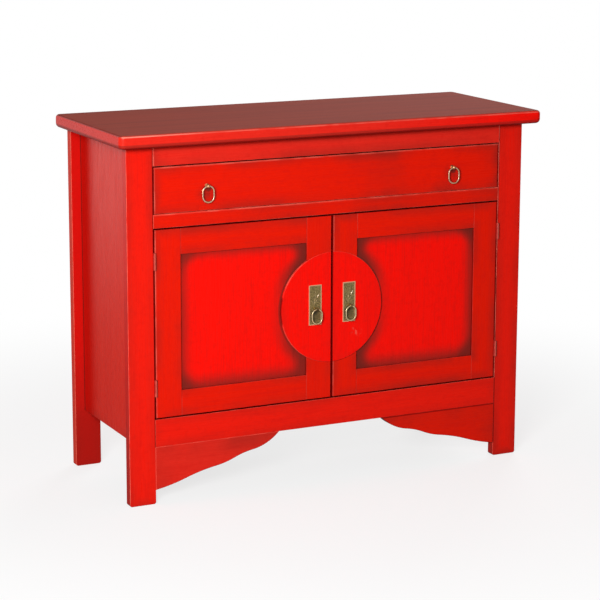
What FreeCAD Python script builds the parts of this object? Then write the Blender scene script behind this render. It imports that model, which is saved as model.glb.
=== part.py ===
"""A lacquered sideboard with one drawer, two half-moon doors and ring pulls, in millimetres.

The frame has +Z up, the front towards -Y, and its origin on the floor below the middle of the top.
"""

import FreeCAD, Part
import math
import os
import re
import Sketcher

doc = FreeCAD.newDocument("Sideboard")

SIZES = {
    # the top panel and how far it stands out from the carcass
    "top_width": 1000,
    "top_depth": 395,
    "top_thickness": 29,
    "top_corner_round": 12,
    "top_edge_round": 7.5,
    "top_under_round": 10,
    "side_overhang": 27,
    "front_overhang": 39,
    "back_overhang": 6,
    # legs and the softened edge that most boards have
    "overall_height": 794,
    "leg_width": 59,
    "leg_thickness": 21,
    "foot_round": 5,
    "edge_ease": 0.8,
    # the front's rows, from the floor up; the doors fill what is left
    "apron_clearance": 124,
    "bottom_rail_height": 60,
    "drawer_rail_height": 29.5,
    "drawer_opening": 100.5,
    "top_rail_height": 43,
    "rail_thickness": 21,
    # joinery
    "tenon_length": 20,
    "tenon_thickness": 8,
    "tenon_shoulder": 9,
    "groove_depth": 8,
    "joint_fit": 0.15,
    # sides and back
    "side_inset": 22,
    "side_thickness": 15,
    "side_clearance": 128,
    "back_thickness": 6,
    "back_top_rail_height": 100,
    "back_bottom_rail_height": 60,
    # floor, shelf and the cleats that carry them and hold the top
    "floor_thickness": 15,
    "floor_lip": 6,
    "floor_stop_gap": 0.5,
    "shelf_thickness": 15,
    "shelf_drop": 8,
    "shelf_setback": 12,
    "cleat_width": 20,
    "cleat_height": 20,
    # apron brackets: a wave of two shoulders and a quarter round tip
    "bracket_length": 288,
    "bracket_drop": 93.5,
    "outer_shoulder_reach": 140,
    "outer_shoulder_drop": 58,
    "inner_shoulder_reach": 225,
    "inner_shoulder_drop": 33,
    "shoulder_lean": 9,
    "tongue_length": 190,
    "tongue_height": 8,
    # drawer
    "drawer_gap": 1.5,
    "drawer_head_gap": 2.3,
    "drawer_foot_gap": 1,
    "drawer_front_thickness": 21,
    "drawer_side_thickness": 12,
    "drawer_side_height": 78,
    "drawer_back_thickness": 12,
    "drawer_bottom_thickness": 5,
    "drawer_bottom_lift": 8,
    "drawer_bottom_groove": 6,
    "drawer_lap": 9,
    "drawer_stop_gap": 1,
    "slide_gap": 0.4,
    "runner_width": 40,
    "runner_height": 18,
    "guide_height": 28,
    "kicker_height": 18,
    "kicker_gap": 1,
    # doors
    "hinge_gap": 1.6,
    "door_gap": 2.8,
    "meeting_gap": 4.2,
    "door_thickness": 21,
    "stile_width": 59,
    "door_rail_height": 55.5,
    "panel_recess": 5,
    "panel_thickness": 8,
    "half_moon_radius": 122,
    # butt hinges
    "hinge_height": 36,
    "hinge_end": 66,
    "leaf_thickness": 1.2,
    "leaf_depth": 16,
    "hinge_stand": 3.3,
    "knuckle_radius": 3,
    "knuckle_gap": 0.3,
    "pin_radius": 1.5,
    "pin_play": 0.08,
    # ring pulls: plate, eye post, nut and hanging ring
    "door_pull_inset": 41,
    "plate_width": 30,
    "plate_height": 88,
    "plate_thickness": 1.8,
    "plate_rim": 2,
    "plate_field_depth": 0.6,
    "plate_lift": 8,
    "drawer_pull_inset": 294,
    "drawer_pull_lift": 3,
    "post_stand": 9,
    "post_head_radius": 4,
    "post_neck_radius": 2.6,
    "post_collar_radius": 4.5,
    "post_collar_height": 1.8,
    "post_shank_radius": 2,
    "post_tail": 6,
    "eye_radius": 2.4,
    "nut_radius": 5,
    "nut_height": 4,
    "wire_radius": 1.8,
    "drawer_ring_width": 29,
    "drawer_ring_height": 38,
    "door_ring_width": 27,
    "door_ring_height": 35.5,
    # magnetic catches below the shelf
    "catch_width": 34,
    "catch_depth": 24,
    "catch_height": 11,
    "catch_gap": 0.4,
    "strike_width": 26,
    "strike_height": 11,
    "strike_thickness": 1.5,
}

PLACES = {
    # planes of the carcass
    "front_face": "front_overhang - top_depth / 2",
    "back_face": "top_depth / 2 - back_overhang",
    "carcass_half": "top_width / 2 - side_overhang",
    "opening_half": "carcass_half - leg_width",
    "inner_half": "carcass_half - side_inset - side_thickness",
    "leg_height": "overall_height - top_thickness",
    "inside_front": "front_face + leg_thickness",
    "inside_back": "back_face - leg_thickness",
    "inside_depth": "inside_back - inside_front",
    "door_back": "front_face + door_thickness",
    # heights of the front's rows
    "drawer_head": "leg_height - top_rail_height",
    "drawer_sill": "drawer_head - drawer_opening",
    "door_head": "drawer_sill - drawer_rail_height",
    "door_sill": "apron_clearance + bottom_rail_height",
    "door_opening": "door_head - door_sill",
    "back_rail_sill": "leg_height - back_top_rail_height",
    "floor_top": "door_sill + floor_lip",
    "floor_front": "max(front_face + rail_thickness; door_back + floor_stop_gap)",
    # drawer
    "drawer_half": "opening_half - drawer_gap",
    "drawer_base": "drawer_sill + slide_gap",
    "drawer_rear": "inside_back - drawer_stop_gap",
    "drawer_side_front": "front_face + drawer_front_thickness - drawer_lap",
    "drawer_inner_half": "drawer_half - drawer_side_thickness",
    "drawer_floor": "drawer_base + drawer_bottom_lift",
    "drawer_front_base": "drawer_sill + drawer_foot_gap",
    "drawer_front_height": "drawer_opening - drawer_foot_gap - drawer_head_gap",
    "drawer_post_height": "drawer_sill + drawer_opening / 2 + drawer_pull_lift",
    # left door; the right one is its mirror image
    "door_left": "hinge_gap - opening_half",
    "door_right": "-meeting_gap / 2",
    "door_base": "door_sill + door_gap",
    "door_height": "door_opening - 2 * door_gap",
    "door_middle": "door_base + door_height / 2",
    "shelf_top": "door_middle - shelf_drop",
    "panel_left": "door_left + stile_width",
    "panel_right": "door_right - stile_width",
    "panel_width": "panel_right - panel_left",
    "door_tenon_y": "(door_thickness - tenon_thickness) / 2",
    "rail_tenon_y": "(rail_thickness - tenon_thickness) / 2",
    "back_groove_y": "(leg_thickness - back_thickness) / 2",
    # hinge axis, in the gap beside the left leg and just ahead of the front
    "hinge_x": "hinge_gap / 2 - opening_half",
    "hinge_y": "front_face - hinge_stand",
    "lower_hinge": "door_base + hinge_end - hinge_height / 2",
    "upper_hinge": "door_base + door_height - hinge_end - hinge_height / 2",
    "knuckle_height": "(hinge_height - 2 * knuckle_gap) / 3",
    "bore_radius": "pin_radius + pin_play",
}


def ex(formula):
    """The formula as an expression: each name in it points at its cell."""

    def cell(found):
        name = found.group()
        if name in SIZES:
            return "Sizes." + name
        return "Places." + name if name in PLACES else name

    return re.sub(r"[a-z_]+", cell, formula)


def make_sheet(name, cells):
    """A spreadsheet with one aliased cell for each name."""
    sheet = doc.addObject("Spreadsheet::Sheet", name)
    for row, (alias, content) in enumerate(cells.items(), start=1):
        sheet.set(f"A{row}", alias)
        sheet.set(f"B{row}", content)
        sheet.setAlias(f"B{row}", alias)
    doc.recompute()
    return sheet


make_sheet("Sizes", {name: str(value) for name, value in SIZES.items()})
make_sheet("Places", {name: "=" + ex(formula) for name, formula in PLACES.items()})

parts = {}


def bind(item, values):
    """Binds properties of an item to formulas."""
    for name, formula in values.items():
        item.setExpression(name, ex(formula))


def bind_place(item, corner):
    """Binds where an item stands to three formulas."""
    bind(item, dict(zip(("Placement.Base.x", "Placement.Base.y", "Placement.Base.z"), corner)))


def new_body(label, corner):
    """An empty body that stands at the corner given by three formulas."""
    body = doc.addObject("PartDesign::Body", label)
    body.Label = label
    bind_place(body, corner)
    return body


def add_box(body, corner, size):
    """Adds a box, measured from the body's own corner."""
    item = body.newObject("PartDesign::AdditiveBox", "block")
    bind(item, dict(zip(("Length", "Width", "Height"), size)))
    bind_place(item, corner)
    return item


def cut_box(body, corner, size):
    """Cuts a box, measured from the body's own corner."""
    item = body.newObject("PartDesign::SubtractiveBox", "cut")
    bind(item, dict(zip(("Length", "Width", "Height"), size)))
    bind_place(item, corner)
    return item


TURNS = {
    "x": FreeCAD.Rotation(FreeCAD.Vector(0, 1, 0), 90),
    "y": FreeCAD.Rotation(FreeCAD.Vector(1, 0, 0), -90),
    "z": FreeCAD.Rotation(),
}


def round_item(body, kind, corner, axis, radius, length):
    """A cylinder in a body, from its end's middle along an axis."""
    item = body.newObject("PartDesign::" + kind, "round")
    item.Placement = FreeCAD.Placement(FreeCAD.Vector(), TURNS[axis])
    bind(item, {"Radius": radius, "Height": length})
    bind_place(item, corner)
    return item


def edge_names(feature, wanted):
    """The names of a feature's edges that pass a test."""
    edges = enumerate(feature.Shape.Edges, start=1)
    return [f"Edge{number}" for number, edge in edges if wanted(edge)]


def along(edge, axis):
    """Whether an edge is straight and runs along an axis."""
    box = edge.BoundBox
    spans = (box.XLength, box.YLength, box.ZLength)
    straight = isinstance(edge.Curve, Part.Line)
    return straight and max(spans) == spans["xyz".index(axis)] and sum(spans) < 1.001 * max(spans)


def soften(body, feature, names, size="edge_ease", kind="Chamfer"):
    """Eases the named edges of a body's last feature."""
    item = body.newObject("PartDesign::" + kind, "ease")
    item.Base = (feature, names)
    bind(item, {"Size" if kind == "Chamfer" else "Radius": size})
    return item


def board(label, corner, size, eased=True):
    """A plank from its lowest corner, with its edges eased."""
    body = new_body(label, corner)
    plank = add_box(body, ("0", "0", "0"), size)
    if eased:
        doc.recompute()
        soften(body, plank, edge_names(plank, lambda edge: True))
    parts[label] = body
    return body


def mirror(label, source):
    """The right-hand twin of a left-hand piece."""
    item = doc.addObject("Part::Mirroring", label)
    item.Label = label
    item.Source = source
    item.Normal = FreeCAD.Vector(1, 0, 0)
    return item


def mirrored_part(label, source):
    """The right-hand twin of a left-hand piece, as a piece of its own."""
    parts[label] = mirror(label, source)


def group(label, members):
    """Several like pieces under one name."""
    item = doc.addObject("Part::Compound", label)
    item.Label = label
    item.Links = members
    parts[label] = item


def pair(label, left_piece):
    """A left-hand piece and its right-hand twin under one name."""
    group(label, [left_piece, mirror(label + "_twin", left_piece)])


def loose_board(name, corner, size):
    """A plank that becomes a member of a group."""
    piece = board(name, corner, size)
    del parts[name]
    return piece


def new_sketch(body, role):
    """An empty sketch on one of a body's own planes."""
    sketch = body.newObject("Sketcher::SketchObject", "outline")
    plane = next(item for item in body.Origin.OriginFeatures if item.Role == role)
    sketch.AttachmentSupport = (plane, [""])
    sketch.MapMode = "FlatFace"
    return sketch


def place_point(sketch, geometry, point, across, up):
    """Binds a sketch point to two formulas, measured from the sketch's origin."""
    drawn = sketch.getPoint(geometry, point)
    for kind, formula, axis, now in (("DistanceX", across, -2, drawn.x), ("DistanceY", up, -1, drawn.y)):
        if formula == "0":
            sketch.addConstraint(Sketcher.Constraint("PointOnObject", geometry, point, axis))
        else:
            number = sketch.addConstraint(Sketcher.Constraint(kind, -1, 1, geometry, point, now))
            sketch.setExpression(f"Constraints[{number}]", ex(formula))


def size(name):
    """The number in a cell."""
    return doc.Sizes.get(name) if name in SIZES else doc.Places.get(name)


def bind_radius(sketch, geometry, formula):
    """Binds the radius of a sketch's circle or arc to a formula."""
    drawn = sketch.Geometry[geometry].Radius
    number = sketch.addConstraint(Sketcher.Constraint("Radius", geometry, drawn))
    sketch.setExpression(f"Constraints[{number}]", ex(formula))


def join(sketch, first, first_end, second, second_end, kind="Coincident"):
    """Joins two ends in a sketch."""
    sketch.addConstraint(Sketcher.Constraint(kind, first, first_end, second, second_end))


def arc(sketch, middle, radius, start, end):
    """Adds an arc, from its middle, radius and two angles in degrees, and gives its number."""
    circle = Part.Circle(FreeCAD.Vector(*middle, 0), FreeCAD.Vector(0, 0, 1), radius)
    return sketch.addGeometry(Part.ArcOfCircle(circle, math.radians(start), math.radians(end)))


def line(sketch, start, end):
    """Adds a straight line and gives its number."""
    return sketch.addGeometry(Part.LineSegment(FreeCAD.Vector(*start, 0), FreeCAD.Vector(*end, 0)))


# the sketcher numbers a curve's points in this order
POINTS = ("edge", "start", "end", "middle")
START, END, MIDDLE = map(POINTS.index, POINTS[1:])


# Top panel

def make_top_panel():
    """The slab, round at its corners, with a small round above and a larger one below its edge."""
    body = new_body("top_panel", ("-top_width / 2", "-top_depth / 2", "leg_height"))
    slab = add_box(body, ("0", "0", "0"), ("top_width", "top_depth", "top_thickness"))
    doc.recompute()
    upright = edge_names(slab, lambda edge: edge.BoundBox.ZLength > size("top_thickness") / 2)
    rounded = soften(body, slab, upright, "top_corner_round", "Fillet")
    doc.recompute()
    low = edge_names(rounded, lambda edge: edge.BoundBox.ZMax < size("top_thickness") / 2)
    under = soften(body, rounded, low, "top_under_round", "Fillet")
    doc.recompute()
    brim = size("top_thickness") - size("top_edge_round") / 2
    high = edge_names(under, lambda edge: edge.BoundBox.ZMin > brim)
    soften(body, under, high, "top_edge_round", "Fillet")
    parts["top_panel"] = body


make_top_panel()


# Legs

def make_leg(label, front):
    """A left-hand plank leg with a rounded foot."""
    body = new_body(label, ("-carcass_half", front, "0"))
    plank = add_box(body, ("0", "0", "0"), ("leg_width", "leg_thickness", "leg_height"))
    doc.recompute()
    foot = edge_names(plank, lambda edge: along(edge, "y") and edge.BoundBox.ZMax < 1)
    rounded = soften(body, plank, foot, "foot_round", "Fillet")
    doc.recompute()
    soften(body, rounded, edge_names(rounded, lambda edge: along(edge, "z")))
    parts[label] = body
    return body


def cut_mortise(body, corner_x, corner_y, rail_base, rail_height):
    """A mortise for a rail's tenon."""
    cut_box(
        body,
        (corner_x, f"{corner_y} - joint_fit", f"{rail_base} + tenon_shoulder - joint_fit"),
        (
            "tenon_length + joint_fit",
            "tenon_thickness + 2 * joint_fit",
            f"{rail_height} - 2 * tenon_shoulder + 2 * joint_fit",
        ),
    )


def cut_leaf_recesses(body, corner_x, base):
    """Two shallow recesses for hinge leaves, open at the front."""
    for hinge in ("lower_hinge", "upper_hinge"):
        cut_box(
            body,
            (corner_x, "0", f"{hinge} - {base} - joint_fit"),
            ("leaf_thickness", "leaf_depth + joint_fit", "hinge_height + 2 * joint_fit"),
        )


def cut_side_groove(body, corner_y):
    """The groove that takes the end of a side panel."""
    cut_box(
        body,
        ("side_inset - joint_fit", corner_y, "side_clearance - joint_fit"),
        ("side_thickness + 2 * joint_fit", "groove_depth + joint_fit", "leg_height"),
    )


INNER_MORTISE = "leg_width - tenon_length - joint_fit"

front_leg = make_leg("front_left_leg", "front_face")
cut_mortise(front_leg, INNER_MORTISE, "rail_tenon_y", "apron_clearance", "bottom_rail_height")
cut_mortise(front_leg, INNER_MORTISE, "rail_tenon_y", "door_head", "drawer_rail_height")
cut_mortise(front_leg, INNER_MORTISE, "rail_tenon_y", "drawer_head", "top_rail_height")
cut_side_groove(front_leg, "leg_thickness - groove_depth - joint_fit")
cut_leaf_recesses(front_leg, "leg_width - leaf_thickness", "0")
mirrored_part("front_right_leg", front_leg)

back_leg = make_leg("back_left_leg", "inside_back")
cut_mortise(back_leg, INNER_MORTISE, "rail_tenon_y", "apron_clearance", "back_bottom_rail_height")
cut_mortise(back_leg, INNER_MORTISE, "rail_tenon_y", "back_rail_sill", "back_top_rail_height")
cut_side_groove(back_leg, "0")
BACK_SILL = "apron_clearance + back_bottom_rail_height - groove_depth"
cut_box(
    back_leg,
    ("leg_width - groove_depth - joint_fit", "back_groove_y - joint_fit", f"{BACK_SILL} - joint_fit"),
    (
        "groove_depth + joint_fit",
        "back_thickness + 2 * joint_fit",
        f"back_rail_sill + groove_depth - ({BACK_SILL}) + 2 * joint_fit",
    ),
)
mirrored_part("back_right_leg", back_leg)


# Rails, with a tenon on each end

def make_rail(label, front, base, height):
    """A rail between two legs."""
    body = board(label, ("-opening_half", front, base), ("2 * opening_half", "rail_thickness", height))
    add_box(
        body,
        ("-tenon_length", "rail_tenon_y", "tenon_shoulder"),
        ("2 * opening_half + 2 * tenon_length", "tenon_thickness", f"{height} - 2 * tenon_shoulder"),
    )
    return body


make_rail("top_front_rail", "front_face", "drawer_head", "top_rail_height")
make_rail("drawer_rail", "front_face", "door_head", "drawer_rail_height")
bottom_rail = make_rail("bottom_rail", "front_face", "apron_clearance", "bottom_rail_height")
for groove_start in ("0", "2 * opening_half - tongue_length - joint_fit"):
    cut_box(
        bottom_rail,
        (groove_start, "rail_tenon_y - joint_fit", "0"),
        ("tongue_length + joint_fit", "tenon_thickness + 2 * joint_fit", "tongue_height + joint_fit"),
    )
BACK_RAIL_FRONT = "back_face - rail_thickness"
back_bottom_rail = make_rail(
    "back_bottom_rail", BACK_RAIL_FRONT, "apron_clearance", "back_bottom_rail_height"
)
back_top_rail = make_rail("back_top_rail", BACK_RAIL_FRONT, "back_rail_sill", "back_top_rail_height")
BACK_GROOVE_IN_RAIL = "rail_thickness - leg_thickness + back_groove_y - joint_fit"
for rail, groove_base in (
    (back_bottom_rail, "back_bottom_rail_height - groove_depth - joint_fit"),
    (back_top_rail, "0"),
):
    cut_box(
        rail,
        ("0", BACK_GROOVE_IN_RAIL, groove_base),
        ("2 * opening_half", "back_thickness + 2 * joint_fit", "groove_depth + joint_fit"),
    )


# Apron brackets

def make_bracket():
    """The left bracket: two S curves and a round tip that start at one lean, and a tongue into the rail."""
    body = new_body("left_apron_bracket", ("-opening_half", "front_face", "apron_clearance"))
    sketch = new_sketch(body, "XZ_Plane")
    reach = [0, size("outer_shoulder_reach"), size("inner_shoulder_reach"), size("bracket_length")]
    drop = [size("bracket_drop"), size("outer_shoulder_drop"), size("inner_shoulder_drop"), 0]
    lean = size("shoulder_lean")
    aside, up = -math.sin(math.radians(lean)), math.cos(math.radians(lean))
    arcs = []
    for step, halves in enumerate((2, 2, 1)):
        run, rise = reach[step + 1] - reach[step], drop[step] - drop[step + 1]
        bend = math.atan2(rise, run) - math.radians(lean)
        radius = math.hypot(run, rise) / halves / (2 * math.sin(bend))
        steepest = lean + math.degrees(2 * bend)
        middle = (reach[step] + radius * aside, radius * up - drop[step])
        arcs.append(arc(sketch, middle, radius, lean - 90, steepest - 90))
        if halves == 2:
            middle = (reach[step + 1] - radius * aside, -radius * up - drop[step + 1])
            arcs.append(arc(sketch, middle, radius, lean + 90, steepest + 90))
    top_edge = line(sketch, (reach[3], 0), (0, 0))
    leg_edge = line(sketch, (0, 0), (0, -drop[0]))
    outer_rise, outer_crest, inner_rise, inner_crest, tip = arcs
    join(sketch, outer_rise, END, outer_crest, END, "Tangent")
    join(sketch, outer_crest, START, inner_rise, START)
    join(sketch, inner_rise, END, inner_crest, END, "Tangent")
    join(sketch, inner_crest, START, tip, START)
    join(sketch, tip, END, top_edge, START)
    join(sketch, top_edge, END, leg_edge, START)
    join(sketch, leg_edge, END, outer_rise, START)
    for first, second in ((outer_rise, outer_crest), (inner_rise, inner_crest)):
        sketch.addConstraint(Sketcher.Constraint("Equal", first, second))
    for number in arcs:
        start, middle = sketch.getPoint(number, START), sketch.getPoint(number, MIDDLE)
        spoke = line(sketch, (start.x, start.y), (middle.x, middle.y))
        sketch.setConstruction(spoke, True)
        join(sketch, spoke, START, number, START)
        join(sketch, spoke, END, number, MIDDLE)
        upright = 90 if middle.y > start.y else -90
        held = sketch.addConstraint(Sketcher.Constraint("Angle", spoke, math.radians(lean + upright)))
        sketch.setExpression(f"Constraints[{held}]", ex(f"(shoulder_lean + {upright}) * 1 deg"))
    place_point(sketch, outer_rise, START, "0", "-bracket_drop")
    place_point(sketch, inner_rise, START, "outer_shoulder_reach", "-outer_shoulder_drop")
    place_point(sketch, tip, START, "inner_shoulder_reach", "-inner_shoulder_drop")
    place_point(sketch, top_edge, START, "bracket_length", "0")
    place_point(sketch, leg_edge, START, "0", "0")
    pad = body.newObject("PartDesign::Pad", "plank")
    pad.Profile = sketch
    pad.Reversed = True
    bind(pad, {"Length": "rail_thickness"})
    doc.recompute()
    front_edges = edge_names(pad, lambda edge: edge.BoundBox.YLength < 1)
    soften(body, pad, front_edges)
    add_box(
        body,
        ("0", "rail_tenon_y", "-tongue_height"),
        ("tongue_length", "tenon_thickness", "2 * tongue_height"),
    )
    parts["left_apron_bracket"] = body
    mirrored_part("right_apron_bracket", body)


make_bracket()


# Side and back panels, floor, shelf and cleats

left_side = board(
    "left_side_panel",
    ("side_inset - carcass_half", "inside_front - groove_depth", "side_clearance"),
    ("side_thickness", "inside_depth + 2 * groove_depth", "leg_height - side_clearance"),
)
mirrored_part("right_side_panel", left_side)

board(
    "back_panel",
    ("-opening_half - groove_depth", "inside_back + back_groove_y", BACK_SILL),
    (
        "2 * opening_half + 2 * groove_depth",
        "back_thickness",
        f"back_rail_sill + groove_depth - ({BACK_SILL})",
    ),
    eased=False,
)

board(
    "cabinet_floor",
    ("-inner_half", "floor_front", "floor_top - floor_thickness"),
    ("2 * inner_half", f"{BACK_RAIL_FRONT} - floor_front", "floor_thickness"),
)
FLOOR_CLEAT = ("2 * opening_half", "cleat_width", "cleat_height")
FLOOR_CLEAT_BASE = "floor_top - floor_thickness - cleat_height"
floor_cleats = [
    loose_board(name, ("-opening_half", front, FLOOR_CLEAT_BASE), FLOOR_CLEAT)
    for name, front in (
        ("front_floor_cleat", "front_face + rail_thickness"),
        ("back_floor_cleat", f"{BACK_RAIL_FRONT} - cleat_width"),
    )
]
group("floor_cleats", floor_cleats)

SHELF_FRONT = "door_back + shelf_setback"
board(
    "inner_shelf",
    ("-inner_half", SHELF_FRONT, "shelf_top - shelf_thickness"),
    ("2 * inner_half", f"inside_back - ({SHELF_FRONT})", "shelf_thickness"),
)


def side_strip(label, front, base, width, height):
    """A pair of strips along the side panels."""
    corner = ("-inner_half", front, base)
    pair(label, loose_board("left_" + label, corner, (width, f"inside_back - ({front})", height)))


SHELF_CLEAT_BASE = "shelf_top - shelf_thickness - cleat_height"
side_strip("shelf_cleats", SHELF_FRONT, SHELF_CLEAT_BASE, "cleat_width", "cleat_height")
side_strip("top_cleats", "inside_front", "leg_height - cleat_height", "cleat_width", "cleat_height")


# Drawer runners, guides and kickers

side_strip("drawer_runners", "inside_front", "drawer_sill - runner_height", "runner_width", "runner_height")
GUIDE_WIDTH = "inner_half - drawer_half - slide_gap"
side_strip("drawer_guides", "inside_front", "drawer_sill", GUIDE_WIDTH, "guide_height")
KICKER_BASE = "drawer_base + drawer_side_height + kicker_gap"
side_strip("drawer_kickers", "inside_front", KICKER_BASE, "runner_width", "kicker_height")


# Drawer box

drawer_front = board(
    "drawer_front",
    ("-drawer_half", "front_face", "drawer_front_base"),
    ("2 * drawer_half", "drawer_front_thickness", "drawer_front_height"),
)
LAP_BASE = "drawer_base - drawer_front_base - joint_fit"
for lap_start in ("0", "2 * drawer_half - drawer_side_thickness - joint_fit"):
    cut_box(
        drawer_front,
        (lap_start, "drawer_front_thickness - drawer_lap", LAP_BASE),
        ("drawer_side_thickness + joint_fit", "drawer_lap", "drawer_side_height + 2 * joint_fit"),
    )
BOTTOM_SLOT = "drawer_bottom_thickness + 2 * joint_fit"
cut_box(
    drawer_front,
    (
        "drawer_side_thickness",
        "drawer_front_thickness - drawer_bottom_groove - joint_fit",
        "drawer_floor - drawer_front_base - joint_fit",
    ),
    ("2 * drawer_inner_half", "drawer_bottom_groove + joint_fit", BOTTOM_SLOT),
)
for post_x in ("drawer_half - drawer_pull_inset", "drawer_half + drawer_pull_inset"):
    round_item(
        drawer_front,
        "SubtractiveCylinder",
        (post_x, "0", "drawer_post_height - drawer_front_base"),
        "y",
        "post_shank_radius + joint_fit",
        "drawer_front_thickness",
    )

DRAWER_SIDE_LENGTH = "drawer_rear - drawer_side_front"
drawer_side = board(
    "drawer_left_side",
    ("-drawer_half", "drawer_side_front", "drawer_base"),
    ("drawer_side_thickness", DRAWER_SIDE_LENGTH, "drawer_side_height"),
)
cut_box(
    drawer_side,
    ("drawer_side_thickness - drawer_bottom_groove - joint_fit", "0", "drawer_bottom_lift - joint_fit"),
    ("drawer_bottom_groove + joint_fit", DRAWER_SIDE_LENGTH, BOTTOM_SLOT),
)
mirrored_part("drawer_right_side", drawer_side)

board(
    "drawer_back",
    (
        "-drawer_inner_half",
        "drawer_rear - drawer_back_thickness",
        "drawer_floor + drawer_bottom_thickness",
    ),
    (
        "2 * drawer_inner_half",
        "drawer_back_thickness",
        "drawer_side_height - drawer_bottom_lift - drawer_bottom_thickness",
    ),
)

BOTTOM_FRONT = "front_face + drawer_front_thickness - drawer_bottom_groove"
board(
    "drawer_bottom",
    ("-drawer_inner_half - drawer_bottom_groove", BOTTOM_FRONT, "drawer_floor"),
    (
        "2 * drawer_inner_half + 2 * drawer_bottom_groove",
        f"drawer_rear - ({BOTTOM_FRONT})",
        "drawer_bottom_thickness",
    ),
    eased=False,
)


# Doors: the left one is modelled and the right one mirrors it

def cut_panel_groove(body, corner, across, up):
    """A groove for the door panel's edge."""
    cut_box(
        body,
        (corner[0], "panel_recess - joint_fit", corner[1]),
        (across, "panel_thickness + 2 * joint_fit", up),
    )


PANEL_SLOT = "groove_depth + joint_fit"
PANEL_RUN = "door_height - 2 * door_rail_height + 2 * groove_depth + 2 * joint_fit"
TOP_RAIL_BASE = "door_height - door_rail_height"


def make_stile(label, corner_x, slot_x, mortise_x):
    """An upright of the door's frame, with mortises and the panel's groove in its inner edge."""
    body = board(
        label,
        (corner_x, "front_face", "door_base"),
        ("stile_width", "door_thickness", "door_height"),
    )
    for base in ("0", TOP_RAIL_BASE):
        cut_mortise(body, mortise_x, "door_tenon_y", base, "door_rail_height")
    cut_panel_groove(
        body,
        (slot_x, "door_rail_height - groove_depth - joint_fit"),
        PANEL_SLOT,
        PANEL_RUN,
    )
    return body


hinge_stile = make_stile(
    "left_door_hinge_stile",
    "door_left",
    "stile_width - groove_depth - joint_fit",
    "stile_width - tenon_length - joint_fit",
)
cut_leaf_recesses(hinge_stile, "0", "door_base")

meeting_stile = make_stile("left_door_meeting_stile", "panel_right", "0", "0")
round_item(
    meeting_stile,
    "SubtractiveCylinder",
    ("-panel_right", "0", "door_height / 2"),
    "y",
    "half_moon_radius + joint_fit",
    "panel_recess",
)
round_item(
    meeting_stile,
    "SubtractiveCylinder",
    ("-panel_right - door_pull_inset", "0", "door_height / 2"),
    "y",
    "post_shank_radius + joint_fit",
    "door_thickness",
)


def make_door_rail(label, base, slot_base):
    """A crosspiece of the door's frame, with a tenon on each end."""
    body = board(
        label,
        ("panel_left", "front_face", base),
        ("panel_width", "door_thickness", "door_rail_height"),
    )
    add_box(
        body,
        ("-tenon_length", "door_tenon_y", "tenon_shoulder"),
        ("panel_width + 2 * tenon_length", "tenon_thickness", "door_rail_height - 2 * tenon_shoulder"),
    )
    cut_panel_groove(body, ("0", slot_base), "panel_width", PANEL_SLOT)
    return body


door_rails = {
    "bottom_rail": ("door_base", "door_rail_height - groove_depth - joint_fit"),
    "top_rail": (f"door_base + {TOP_RAIL_BASE}", "0"),
}
for rail_name, (rail_base, slot_base) in door_rails.items():
    door_rail = make_door_rail("left_door_" + rail_name, rail_base, slot_base)
    mirrored_part("right_door_" + rail_name, door_rail)

door_panel = board(
    "left_door_panel",
    (
        "panel_left - groove_depth",
        "front_face + panel_recess",
        "door_base + door_rail_height - groove_depth",
    ),
    (
        "panel_width + 2 * groove_depth",
        "panel_thickness",
        "door_height - 2 * door_rail_height + 2 * groove_depth",
    ),
    eased=False,
)


def make_half_moon():
    """The half disc that lies on the panel and is let into the meeting stile, flush with the frame."""
    body = new_body("left_door_half_moon", ("0", "front_face", "door_middle"))
    sketch = new_sketch(body, "XZ_Plane")
    radius, half_gap = size("half_moon_radius"), size("meeting_gap") / 2
    rise = math.sqrt(radius**2 - half_gap**2)
    lean = math.degrees(math.asin(half_gap / radius))
    rim = arc(sketch, (0, 0), radius, 90 + lean, 270 - lean)
    chord = line(sketch, (-half_gap, -rise), (-half_gap, rise))
    join(sketch, rim, END, chord, START)
    join(sketch, chord, END, rim, START)
    join(sketch, rim, MIDDLE, -1, START)
    sketch.addConstraint(Sketcher.Constraint("Vertical", chord))
    gap = sketch.addConstraint(Sketcher.Constraint("DistanceX", -1, 1, chord, START, -half_gap))
    sketch.setExpression(f"Constraints[{gap}]", ex("door_right"))
    bind_radius(sketch, rim, "half_moon_radius")
    pad = body.newObject("PartDesign::Pad", "disc")
    pad.Profile = sketch
    pad.Reversed = True
    bind(pad, {"Length": "panel_recess"})
    doc.recompute()
    soften(body, pad, edge_names(pad, lambda edge: edge.BoundBox.YMax < size("panel_recess") / 2))
    round_item(
        body,
        "SubtractiveCylinder",
        ("-door_pull_inset", "0", "0"),
        "y",
        "post_shank_radius + joint_fit",
        "panel_recess",
    )
    parts["left_door_half_moon"] = body
    return body


half_moon = make_half_moon()


# Butt hinges

def make_leaf(name, base, plate_x, knuckle_bases):
    """A hinge leaf: a plate let into an edge, and the knuckles that stand ahead of the front."""
    body = new_body(name, ("-opening_half", "front_face", base))
    add_box(body, (plate_x, "0", "0"), ("leaf_thickness", "leaf_depth", "hinge_height"))
    for knuckle_base in knuckle_bases:
        add_box(
            body,
            (plate_x, "-hinge_stand", knuckle_base),
            ("leaf_thickness", "hinge_stand", "knuckle_height"),
        )
        axis_foot = ("hinge_gap / 2", "-hinge_stand", knuckle_base)
        round_item(body, "AdditiveCylinder", axis_foot, "z", "knuckle_radius", "knuckle_height")
    axis_foot = ("hinge_gap / 2", "-hinge_stand", "0")
    round_item(body, "SubtractiveCylinder", axis_foot, "z", "bore_radius", "hinge_height")
    return body


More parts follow.
